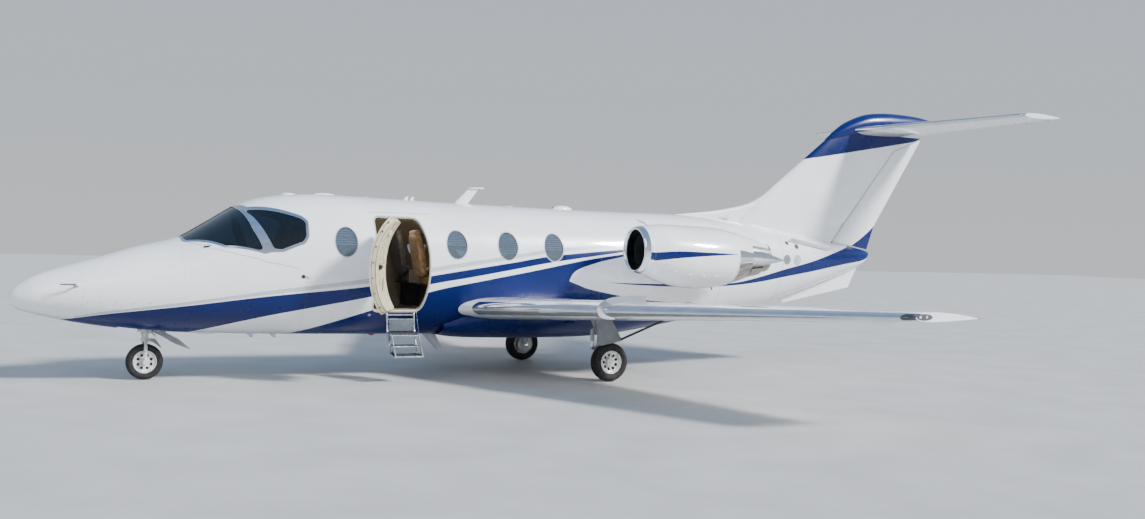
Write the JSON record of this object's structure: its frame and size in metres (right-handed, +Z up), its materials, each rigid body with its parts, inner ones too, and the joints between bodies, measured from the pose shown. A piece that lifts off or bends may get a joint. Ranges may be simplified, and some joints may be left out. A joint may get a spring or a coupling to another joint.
{
  "type": "business jet",
  "caption": "Light twin-engined business jet with a T-tail, straight tapered wing, cabin door open and airstair out, parked on its wheels.",
  "frame": {"origin": "on the ground, under the middle of the bounding box", "axes": "-X to the nose, -Y to the port side with the door, +Z up"},
  "size_m": [14.7503, 13.25, 4.205],
  "materials": {
    "white_paint": "gloss paint",
    "blue_paint": "gloss paint",
    "white_composite": "gloss paint",
    "polished": "polished",
    "steel": "bright",
    "gear_grey": "satin paint",
    "tyre": "matte",
    "glass": "clear",
    "lining": "satin",
    "leather": "satin",
    "carpet": "matte",
    "dark_trim": "matte"
  },
  "bodies": {
    "airframe": {"radome": "white_composite", "nose_section": "white_paint", "cockpit_section": "white_paint", "windscreen_left": "glass", "windscreen_right": "glass", "cockpit_window_left": "glass", "cockpit_window_right": "glass", "cabin_side_left": "white_paint", "cabin_side_right": "white_paint", "cabin_roof": "white_paint", "cabin_belly": "blue_paint", "cabin_window_left_front": "glass", "cabin_windows_left": "glass", "cabin_windows_right": "glass", "aft_bulkhead": "lining", "tail_section": "white_paint", "cabin_floor": "carpet", "instrument_panel": "dark_trim", "cockpit_seats": "leather", "cabin_seats_left": "leather", "cabin_seats_right": "leather", "wing_left": "white_paint", "wing_right": "white_paint", "belly_fairing": "blue_paint", "nacelle_left": "white_paint", "nacelle_right": "white_paint", "inlet_lip_left": "polished", "inlet_lip_right": "polished", "engine_left": "steel", "engine_right": "steel", "pylon_left": "white_paint", "pylon_right": "white_paint", "fin": "white_paint", "tailplane": "white_paint", "tailplane_fairing": "blue_paint", "nose_gear_leg": "gear_grey", "nose_gear_doors": "white_paint", "main_gear_leg_left": "gear_grey", "main_gear_leg_right": "gear_grey", "main_gear_door_left": "white_paint", "main_gear_door_right": "white_paint", "airstair": "polished"},
    "flap_left": {"flap_left": "white_paint"},
    "flap_right": {"flap_right": "white_paint"},
    "spoiler_left": {"spoiler_left": "white_paint"},
    "spoiler_right": {"spoiler_right": "white_paint"},
    "fan_left": {"fan_left": "steel"},
    "fan_right": {"fan_right": "steel"},
    "rudder": {"rudder": "white_paint"},
    "elevator_left": {"elevator_left": "white_paint"},
    "elevator_right": {"elevator_right": "white_paint"},
    "nose_fork": {"nose_gear_fork": "gear_grey"},
    "nose_wheel": {"nose_wheel": "gear_grey", "nose_tyre": "tyre"},
    "main_wheel_left": {"main_wheel_left": "gear_grey", "main_tyre_left": "tyre"},
    "main_wheel_right": {"main_wheel_right": "gear_grey", "main_tyre_right": "tyre"},
    "cabin_door": {"cabin_door": "white_paint"}
  },
  "joints": [
    {"name": "nose_steer", "type": "hinge", "parent": "airframe", "child": "nose_fork", "pos_m": [-5.792, 0, 0.52], "axis": [0, 0, 1], "range_deg": [-45, 45]},
    {"name": "nose_wheel_spin", "type": "hinge", "parent": "nose_fork", "child": "nose_wheel", "pos_m": [-5.792, 0, 0.225], "axis": [0, 1, 0], "continuous": true},
    {"name": "main_wheel_left_spin", "type": "hinge", "parent": "airframe", "child": "main_wheel_left", "pos_m": [0.065, -1.42, 0.265], "axis": [0, 1, 0], "continuous": true},
    {"name": "main_wheel_right_spin", "type": "hinge", "parent": "airframe", "child": "main_wheel_right", "pos_m": [0.065, 1.42, 0.265], "axis": [0, 1, 0], "continuous": true},
    {"name": "cabin_door_hinge", "type": "hinge", "parent": "airframe", "child": "cabin_door", "pos_m": [-3.087, -0.872, 1.47], "axis": [0, 0, -1], "range_deg": [-118, 0]},
    {"name": "rudder_hinge", "type": "hinge", "parent": "airframe", "child": "rudder", "pos_m": [4.985, 0, 1.993], "axis": [0.6235, 0, 0.7818], "range_deg": [-25, 25]},
    {"name": "elevator_left_hinge", "type": "hinge", "parent": "airframe", "child": "elevator_left", "pos_m": [6.33608, -0.215, 3.88279], "axis": [-0.329, 0.9421, -0.0648], "range_deg": [-20, 15]},
    {"name": "flap_left_hinge", "type": "hinge", "parent": "airframe", "child": "flap_left", "pos_m": [0.09703, -1.035, 0.9074], "axis": [-0.229, 0.9715, -0.0607], "range_deg": [0, 40]},
    {"name": "spoiler_left_hinge", "type": "hinge", "parent": "airframe", "child": "spoiler_left", "pos_m": [0.30933, -3.012, 1.11831], "axis": [0.2596, -0.9647, 0.0443], "range_deg": [0, 50]},
    {"name": "fan_left_spin", "type": "hinge", "parent": "airframe", "child": "fan_left", "pos_m": [0.955, -1.42, 1.745], "axis": [1, 0, 0], "continuous": true},
    {"name": "elevator_right_hinge", "type": "hinge", "parent": "airframe", "child": "elevator_right", "pos_m": [6.33608, 0.215, 3.88279], "axis": [0.329, 0.9421, 0.0648], "range_deg": [-20, 15]},
    {"name": "flap_right_hinge", "type": "hinge", "parent": "airframe", "child": "flap_right", "pos_m": [0.09703, 1.035, 0.9074], "axis": [0.229, 0.9715, 0.0607], "range_deg": [0, 40]},
    {"name": "spoiler_right_hinge", "type": "hinge", "parent": "airframe", "child": "spoiler_right", "pos_m": [0.30933, 3.012, 1.11831], "axis": [-0.2596, -0.9647, -0.0443], "range_deg": [0, 50]},
    {"name": "fan_right_spin", "type": "hinge", "parent": "airframe", "child": "fan_right", "pos_m": [0.955, 1.42, 1.745], "axis": [1, 0, 0], "continuous": true}
  ]
}
